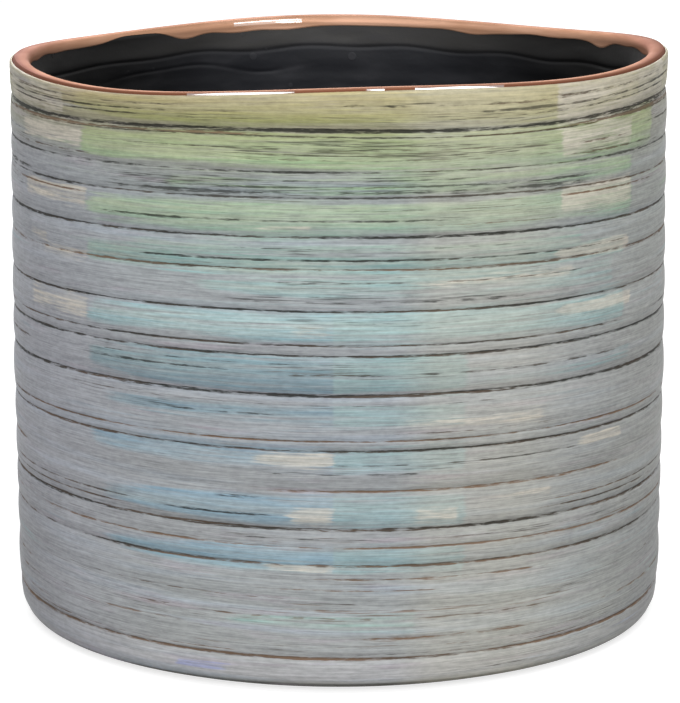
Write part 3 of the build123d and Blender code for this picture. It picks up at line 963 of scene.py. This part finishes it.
# lustre patches: a painted reflection of the front softbox in the film, frayed by streaks
patchy = calc("MULTIPLY_ADD", calc("SUBTRACT", tint, 0.5), 0.8, field("lustre"))
for mask, colour in [
    (both(frayed(patchy, stroke, 0.9, 0.2, 0.95), remap(bristle, 0.1, 0.8, 0.65, 1.0)), film),
    # band right of the middle: painted reflection of the right softbox
    (both(remap(x, *BAND_START, 0, 0.36), remap(x, *BAND_END)), PAINTED_SOFTBOX_VEIL),
    (both(remap(x, *LIP_FLUSH, 0, 0.45), remap(level_share, *AT_LIP)), YELLOW),
    (both(frayed(field("cream"), scuff, 0.7, 0.25, 0.7), remap(stroke, 0.1, 0.8, 0.35, 0.85)), CREAM),
]:
    glaze = mix(mask, glaze, colour)
print("pearl glaze has", len(PEARL_RAMP), "tones by height, lustre has", len(LUSTRE_REFLECTION_RAMPS), "twice")

# %% [markdown]
# ## The pearl finish, part three: scraped lines and gloss
#
# Streaks make the glaze lighter and darker. Over that come the lines: the scrape field, torn by two
# streaks, is the mask, and its colour runs from nearly black, where the groove is deep in shadow, to the
# copper below. Flecks of the same colour lie where the torn streak passes a limit, and the limit is lower
# near a broken line. Scraped places are a little rougher, and a bump from the same streaks lets the light
# catch on them.

# %% Pearl lines, roughness and bump
SCRAPED_DARK, SCRAPED_COPPER = tone(44, 44, 40), tone(122, 98, 79)
HAIRLINE = tone(96, 98, 98)
THIN_GLAZE_AND_GROOVE_SHADE = -0.22
FLECK_LIMIT, FLECK_DROP, FLECK_SHARE = 0.86, -0.42, 0.7  # limit far from a line, change at it, cover

shade = remap(broad, 0, 1, 0.93, 1.07)
for streak, reach in [(stroke, 0.08), (bristle, 0.1), (scuff, 0.12), (mottle, 0.09)]:
    shade = calc("ADD", shade, remap(streak, 0, 1, -reach, reach))
# darkens the glaze by that dark edge, which is partly painted shade of the groove
shade = calc("MULTIPLY_ADD", field("thin_glaze_and_groove_shade"), THIN_GLAZE_AND_GROOVE_SHADE, shade)
glaze = mix(1.0, glaze, put("CombineColor", [shade] * 3).outputs[0], "MULTIPLY")
hair_mask = both(remap(bristle, 0.72, 0.95), remap(stroke, 0.4, 0.8, 0.1, 0.55))
glaze = mix(hair_mask, glaze, HAIRLINE)

limit = calc("MULTIPLY_ADD", field("fleck"), FLECK_DROP, FLECK_LIMIT)
fleck_mask = both(remap(calc("SUBTRACT", torn, limit), 0.0, 0.35), FLECK_SHARE)
scratch = both(calc("SUBTRACT", ragged, 0.5), remap(field("scrape"), 0.05, 0.6, 0, 0.75))
worn_line = calc("MULTIPLY_ADD", field("scrape"), calc("ADD", torn, 0.35), scratch)
line_mask = both(remap(worn_line, 0.18, 0.68), remap(field("fleck"), 0.2, 1, 0.92, 0.72))
line_mask = calc("MAXIMUM", line_mask, fleck_mask)
brown_share = calc("ADD", field("brown"), remap(stroke, 0, 1, -0.35, 0.35))
line_colour = mix(remap(brown_share, 0.1, 1.0), SCRAPED_DARK, SCRAPED_COPPER)

relief = calc("MULTIPLY_ADD", line_mask, -0.8, calc("ADD", bristle, stroke))
wire({
    "Base Color": mix(line_mask, glaze, line_colour),
    "Roughness": calc("MULTIPLY_ADD", line_mask, 0.15, remap(stroke, 0, 1, 0.34, 0.46)),
    "Normal": bump(relief, strength=0.35, distance=0.25 * MM),
    "Specular IOR Level": 0.03,
})

# %% [markdown]
# ## The copper finish
#
# Fired copper lustre is a real film of metal, so the shader is mostly metallic. Its colour is a warm
# copper. It goes brown in streaks where the film is thin. On the crest of the lip it is painted browner,
# and on the bevel and at the sides darkest, a painted reflection of dark surroundings. In a few runs a
# clear coat lies over it and shows the lamps as white strips.

# %% Copper finish
COPPER_BRIGHT, COPPER_BROWN = tone(188, 148, 124), tone(170, 130, 104)
COPPER_CREST_DARK_REFLECTION, COPPER_DARK_REFLECTION = tone(136, 94, 74), tone(108, 68, 50)
COPPER_EDGE = tone(160, 114, 94)
BEVEL_RUNS = [(-40.0, -11.4), (7.0, 12.0), (19.7, 43.5)]  # along x, in mm: clear coat on the front bevel
BACK_RUNS = [(-33.0, -11.6)]  # the same inside the back lip
BACK_RUN_RADII = (88.6, 89.1)
RUN_END, BAND_EDGE = 0.3, 0.05  # mm over which a run ends along x, and from the axis
COPPER_DARK_REFLECTION_SIDES = (0.074, 0.091)  # metres from the middle, along x


def clear_runs(runs, to_back):
    """1 on the parts of the lip between the ends of each run along x, in the front or the back half."""
    covered = 0.0
    for start, stop in runs:
        begun = remap(x, start * MM, (start + RUN_END) * MM)
        ended = remap(x, (stop - RUN_END) * MM, stop * MM)
        covered = calc("MAXIMUM", covered, calc("SUBTRACT", begun, ended))
    return both(covered, remap(both(y, to_back), -0.01, 0.01))


tree = new_finish("copper_lustre", copper_coat)
place, x, y = own_place()
from_axis = axis_distance(x, y)
film = streaks(place, along=45, across=420, seed=7)
cloud = streaks(place, along=28, across=28, seed=8)
bevel = (lip_outer - LIP_WIDE) * MM
outside = remap(from_axis, bevel, (lip_outer - LIP_WIDE / 2) * MM)
copper_colour = mix(remap(calc("ADD", film, cloud), 0.7, 1.4), COPPER_BRIGHT, COPPER_BROWN)
# browner crest, darker bevel and sides: painted reflection of dark surroundings
for mask, colour in [
    (remap(from_axis, (LIP_INNER + INNER_ROUND) * MM, bevel, 0, 0.85), COPPER_CREST_DARK_REFLECTION),
    (outside, COPPER_DARK_REFLECTION),
    (remap(calc("ABSOLUTE", x), *COPPER_DARK_REFLECTION_SIDES, 0, 0.55), COPPER_DARK_REFLECTION),
]:
    copper_colour = mix(mask, copper_colour, colour)
above, below = (remap(from_axis, r * MM, (r + BAND_EDGE) * MM) for r in BACK_RUN_RADII)
in_back = both(calc("SUBTRACT", above, below), clear_runs(BACK_RUNS, 1.0))
wire({
    "Base Color": copper_colour,
    "Roughness": remap(film, 0, 1, 0.52, 0.64),
    "Normal": bump(cloud, strength=0.2, distance=0.3 * MM),
    "Metallic": 0.6,
    "Specular Tint": COPPER_EDGE,
    "Coat Weight": calc("MAXIMUM", both(outside, clear_runs(BEVEL_RUNS, -1.0)), in_back),
    "Coat Roughness": 0.04,
    "Coat IOR": 3.0,
})

# %% [markdown]
# ## The black finish
#
# The inside is a satin black glaze. It is painted paler above the thumb's crease, a painted light on the
# band that faces up, and painted blackest at the sides, a painted shade of the side walls, which get less
# light. Its lumps are in the mesh. The finish adds a grain as fine as the slip that it was brushed with,
# and a few specks where the glaze pulled back.

# %% Black finish
BLACK_DEEP, BLACK_PAINTED_LIT_BAND = tone(33, 34, 38), tone(55, 54, 53)
BLACK_PAINTED_SIDE_SHADE, BLACK_WORN = tone(9, 9, 9), tone(58, 58, 62)
TO_SIDES = (0.02, 0.075)  # metres from the middle, along x
AT_CREASE = (1.0, -2.5)  # mm below the crease, from the deep black to the painted lit band

tree = new_finish("satin_black_glaze", inner_glaze)
place, x, _ = own_place()
wash = streaks(place, along=70, across=180, seed=9)
grit = streaks(place, along=900, across=900, seed=10)
pulled = specks(place, per_metre=260, size=0.3, share=0.12)
# paler above the crease: painted light on the band that faces up
black_colour = mix(remap(field("below_crease"), *AT_CREASE), BLACK_DEEP, BLACK_PAINTED_LIT_BAND)
worn = calc("ADD", remap(wash, 0.45, 1.0, 0, 0.4), both(pulled, 0.4))
black_colour = mix(worn, black_colour, BLACK_WORN)
# blackest at the sides: painted shade of the side walls
black_colour = mix(remap(calc("ABSOLUTE", x), *TO_SIDES, 0, 0.92), black_colour, BLACK_PAINTED_SIDE_SHADE)
relief = calc("MULTIPLY_ADD", wash, 1.5, calc("MULTIPLY_ADD", grit, 0.3, pulled))
wire({
    "Base Color": black_colour,
    "Roughness": remap(wash, 0, 1, 0.42, 0.6),
    "Normal": bump(relief, strength=0.2, distance=0.3 * MM),
    "Specular IOR Level": 0.16,
})

# %% [markdown]
# ## The bare clay
#
# Only the foot ring and the recess under it show the fired stoneware: a warm buff body with iron specks and
# the fine rings of the tool that trimmed it. The rings are a sine of the distance from the axis, which
# works on the flat underside, and the streaks take over on the upright parts. A dark line goes round the
# foot's outer edge.

# %% Clay finish
CLAY_BUFF, CLAY_TOASTED = tone(196, 180, 158), tone(160, 132, 106)
IRON_SPECK, FOOT_EDGE_DARK = tone(92, 66, 48), tone(58, 54, 44)
FOOT_EDGE_RADII = (85.4, 86.7)  # radii between which the dark line sets in, just outside the flat of the foot
TRIM_RINGS_PER_METRE = 520.0

clay_body = bpy.data.objects["clay_body"]
tree = new_finish("bare_stoneware", clay_body)
place, x, y = own_place()
from_axis = axis_distance(x, y)
wobble = streaks(place, along=60, across=60, seed=11)
grit = streaks(place, along=1400, across=1400, seed=12)
turn = calc("MULTIPLY_ADD", from_axis, 2 * np.pi * TRIM_RINGS_PER_METRE, both(wobble, 3.0))
ring = calc("MULTIPLY_ADD", calc("SINE", turn), 0.5, 0.5)
iron = specks(place, per_metre=330, size=0.28, share=0.25)
clay_colour = CLAY_BUFF
for mask, colour in [
    (remap(wobble, 0.3, 0.9, 0, 0.7), CLAY_TOASTED),
    (both(ring, 0.18), CLAY_TOASTED),
    (both(iron, 0.8), IRON_SPECK),
    # a dark line round the foot's outer edge
    (remap(from_axis, FOOT_EDGE_RADII[0] * MM, FOOT_EDGE_RADII[1] * MM), FOOT_EDGE_DARK),
]:
    clay_colour = mix(mask, clay_colour, colour)
wire({
    "Base Color": clay_colour,
    "Roughness": remap(grit, 0, 1, 0.72, 0.9),
    "Normal": bump(calc("ADD", both(ring, 0.8), grit), strength=0.5, distance=0.3 * MM),
})

# %% [markdown]
# ## Floor
#
# A pale floor carries the pot and takes its soft shadow. It reaches far behind, because the camera looks
# down only a little. Seen by the camera or in a gloss, the floor adds a glow of its own, which brings its
# plain part up to white and leaves the shadow on it. The glow is stronger far away, where the lamps don't
# reach. Other rays see only the pale diffuse floor, so the pot gets no light from that glow.

# %% Floor
FLOOR_HALF = 6.0  # metres
FLOOR_GREY = (0.5, 0.5, 0.5, 1)
WHITE = (1, 1, 1, 1)
FLOOR_GLOW, FAR_GLOW = 0.73, 0.93
FLOOR_NEAR, FLOOR_FAR = 0.35, 1.5  # metres from the pot


def seen_directly():
    """1 for what the camera sees, straight or in a gloss or through glass, and 0 for other rays."""
    rays = put("LightPath").outputs
    seen = calc("MAXIMUM", rays["Is Camera Ray"], rays["Is Glossy Ray"])
    return calc("MAXIMUM", seen, rays["Is Transmission Ray"])


corners = FLOOR_HALF * np.array([[-1, -1, 0], [1, -1, 0], [1, 1, 0], [-1, 1, 0]])
mesh = bpy.data.meshes.new("studio_floor")
mesh.from_pydata(corners.tolist(), [], [(0, 1, 2, 3)])
floor = add_object("studio_floor", mesh)
floor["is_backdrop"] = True

tree = new_finish("pale_floor", floor)
_, x, y = own_place()
glow = remap(axis_distance(x, y), FLOOR_NEAR, FLOOR_FAR, FLOOR_GLOW, FAR_GLOW)
wire({
    "Base Color": FLOOR_GREY,
    "Roughness": 0.9,
    "Specular IOR Level": 0.0,
    "Emission Color": WHITE,
    "Emission Strength": both(seen_directly(), glow),
})

# %% [markdown]
# ## Lamps and world
#
# The light is a plain soft studio: an even world for the shadows, a large softbox in front and another
# behind for the wall, and three smaller ones high above, which the clear runs on the lip mirror. The world
# is white where the camera or a gloss sees it, and dimmer as a light. An area lamp shines along its own -Z,
# so its +Z is aimed from the pot to the lamp.

# %% Lamps
WORLD_LEVEL = 0.19
AIM = mathutils.Vector((0, 0, RIM_HEIGHT * MM / 2))


def softbox(name, place, width, height, watts):
    """A rectangular area lamp at a place in metres, facing the middle of the pot."""
    way = mathutils.Vector(place) - AIM
    light = bpy.data.lights.new(name, "AREA")
    light.shape = "RECTANGLE"
    light.size, light.size_y, light.energy = width, height, watts
    lamp = add_object(name, light)
    lamp.location = place
    lamp.rotation_euler = way.to_track_quat("Z", "Y").to_euler()
    print(name, round(way.length, 2), "m from the pot, with", watts, "W")


softbox("front_softbox", (0.05, -1.25, 0.75), 1.0, 0.8, 15.0)
softbox("back_softbox", (-0.2, 1.35, 0.75), 1.0, 0.8, 14.0)
softbox("left_top_softbox", (-0.60, -0.32, 1.45), 0.56, 0.36, 3.4)
softbox("middle_top_softbox", (0.345, -0.5, 1.4), 0.32, 0.4, 2.3)
softbox("right_top_softbox", (0.70, -0.32, 1.45), 0.47, 0.36, 3.2)

world = bpy.data.worlds.new("soft_studio")
world.use_nodes = True
tree = world.node_tree
lit = calc("MULTIPLY_ADD", seen_directly(), 1 - WORLD_LEVEL, WORLD_LEVEL)
fill(tree.nodes["Background"], {"Color": WHITE, "Strength": lit})
bpy.context.scene.world = world

# %% [markdown]
# ## Camera and the pot's box
#
# The camera stands where the photograph was taken from: a little above the rim, looking down about 12
# degrees, with a long lens. The frame's longer side is its height, so the 36 mm of the sensor belong to
# that side. The last lines note the box of the solids and of the finished pot, which may differ only by
# hairs.

# %% Camera, sizes and finish
CAMERA_BACK, CAMERA_HEIGHT = 0.91177, 0.26768  # metres
CAMERA_DOWN = np.radians(11.932)
LENS, SENSOR = 162.406, 36.0  # mm
SIDE_SHIFT = 0.00162  # of the frame's longer side

camera_data = bpy.data.cameras.new("camera")
camera_data.lens = LENS
camera_data.sensor_width = SENSOR
camera_data.shift_x = SIDE_SHIFT
camera = add_object("camera", camera_data)
camera.location = (0, -CAMERA_BACK, CAMERA_HEIGHT)
camera.rotation_euler = (np.pi / 2 - CAMERA_DOWN, 0, 0)
bpy.context.scene.camera = camera
bpy.context.scene.view_settings.view_transform = "Standard"

boxes = {"cad": cad_bounds, "visual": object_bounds()}
boxes = {name: [list(map(float, corner)) for corner in box] for name, box in boxes.items()}
print(boxes)
